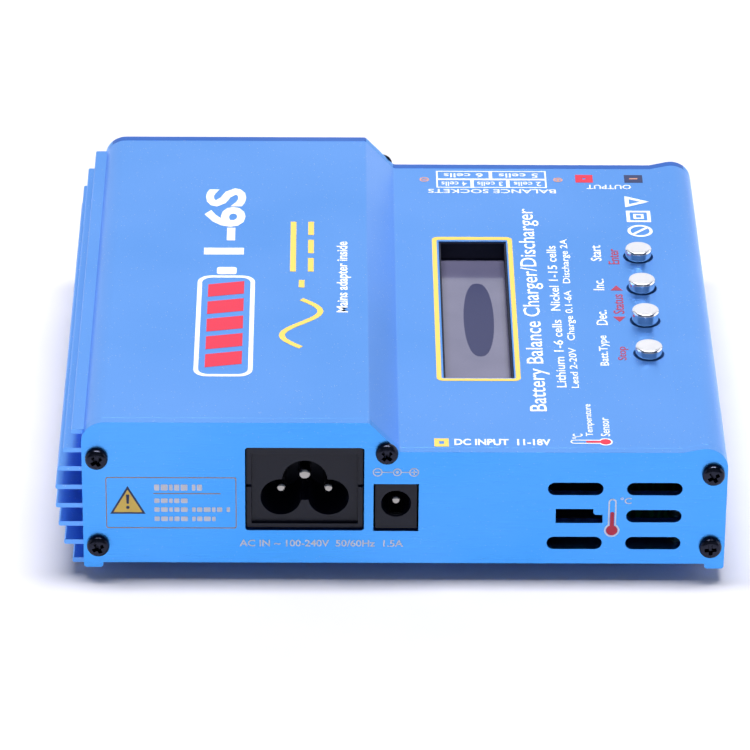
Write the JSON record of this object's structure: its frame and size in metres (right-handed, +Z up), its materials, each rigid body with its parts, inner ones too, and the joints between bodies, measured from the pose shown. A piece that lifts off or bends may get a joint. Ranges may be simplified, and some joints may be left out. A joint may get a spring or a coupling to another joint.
{
  "type": "balance battery charger",
  "caption": "Low blue metal case with a stepped top, side cooling fins, a recessed display, four round keys, a mains inlet and battery output sockets.",
  "frame": {"origin": "on the table under the middle of the case, fins and screw heads included", "axes": "+Z up, -Y out of the mains inlet end, +Y out of the output end, -X towards the cooling fins"},
  "size_m": [0.144, 0.1384, 0.039],
  "materials": {
    "case_blue": "satin blue anodised, fine sparkle",
    "plate_blue": "brushed blue anodised",
    "screw_black": "black oxide",
    "inlet_black": "moulded",
    "pin_nickel": "nickel plated",
    "jack_black": "moulded",
    "port_black": "moulded",
    "socket_white": "moulded nylon",
    "output_red": "moulded",
    "output_black": "moulded",
    "sleeve_gold": "gold plated",
    "nut_nickel": "nickel plated",
    "board_green": "solder mask on glass fibre",
    "display_frame": "black coated sheet",
    "display_panel": "grey liquid crystal glass",
    "backlight_white": "diffuser",
    "gasket_black": "foam strip",
    "key_chrome": "polished plating",
    "switch_black": "moulded",
    "nylon_white": "moulded",
    "post_brass": "turned",
    "screw_steel": "zinc plated",
    "fuse_glass": "clear tube",
    "capacitor_yellow": "moulded box",
    "ferrite_grey": "sintered ferrite",
    "winding_copper": "enamelled wire",
    "tape_yellow": "winding tape",
    "capacitor_black": "shrink sleeve",
    "chip_black": "moulded package",
    "fan_black": "moulded",
    "foot_rubber": "moulded, stuck on",
    "wire_red": "silicone covered"
  },
  "bodies": {
    "case": {"top_cover": "case_blue", "bottom_tray": "case_blue", "front_plate": "plate_blue", "rear_plate": "plate_blue", "plate_screws": "screw_black", "rubber_feet": "foot_rubber", "inlet_body": "inlet_black", "inlet_pins": "pin_nickel", "jack_body": "jack_black", "jack_pin": "pin_nickel", "jack_spring": "pin_nickel", "sensor_socket": "port_black", "sensor_socket_pins": "pin_nickel", "balance_socket_2s": "socket_white", "balance_socket_3s": "socket_white", "balance_socket_4s": "socket_white", "balance_socket_5s": "socket_white", "balance_socket_6s": "socket_white", "balance_socket_pins": "pin_nickel", "balance_board": "board_green", "output_socket_red": "output_red", "output_socket_black": "output_black", "output_sleeves": "sleeve_gold", "output_nuts": "nut_nickel", "display_board": "board_green", "display_bezel": "display_frame", "display_glass": "display_panel", "display_backlight": "backlight_white", "display_gasket": "gasket_black", "display_header": "port_black", "key_switches": "switch_black", "key_board": "board_green", "key_spacers": "nylon_white", "mains_board": "board_green", "charger_board": "board_green", "board_standoffs": "post_brass", "board_screws": "screw_steel", "mains_fuse": "fuse_glass", "suppression_capacitor": "capacitor_yellow", "filter_choke": "winding_copper", "bulk_capacitor": "capacitor_black", "transformer_core": "ferrite_grey", "transformer_winding": "tape_yellow", "output_capacitors": "capacitor_black", "power_transistors": "chip_black", "microcontroller": "chip_black", "charge_chokes": "winding_copper", "buzzer": "chip_black", "fan_frame": "fan_black", "fan_screws": "screw_steel", "supply_leads": "wire_red"},
    "key_stop": {"key_cap_stop": "key_chrome", "key_stem_stop": "nylon_white"},
    "key_dec": {"key_cap_dec": "key_chrome", "key_stem_dec": "nylon_white"},
    "key_inc": {"key_cap_inc": "key_chrome", "key_stem_inc": "nylon_white"},
    "key_start": {"key_cap_start": "key_chrome", "key_stem_start": "nylon_white"},
    "fan": {"fan_rotor": "fan_black"}
  },
  "joints": [
    {"name": "stop_press", "type": "slide", "parent": "case", "child": "key_stop", "axis": [0, 0, -1], "range_m": [0, 0.0003], "stiffness_N_per_m": 1500, "springref_m": -0.0005},
    {"name": "dec_press", "type": "slide", "parent": "case", "child": "key_dec", "axis": [0, 0, -1], "range_m": [0, 0.0003], "stiffness_N_per_m": 1500, "springref_m": -0.0005},
    {"name": "inc_press", "type": "slide", "parent": "case", "child": "key_inc", "axis": [0, 0, -1], "range_m": [0, 0.0003], "stiffness_N_per_m": 1500, "springref_m": -0.0005},
    {"name": "start_press", "type": "slide", "parent": "case", "child": "key_start", "axis": [0, 0, -1], "range_m": [0, 0.0003], "stiffness_N_per_m": 1500, "springref_m": -0.0005},
    {"name": "fan_spin", "type": "hinge", "parent": "case", "child": "fan", "pos_m": [0.031, 0, 0.011], "axis": [0, 0, 1], "continuous": true}
  ]
}
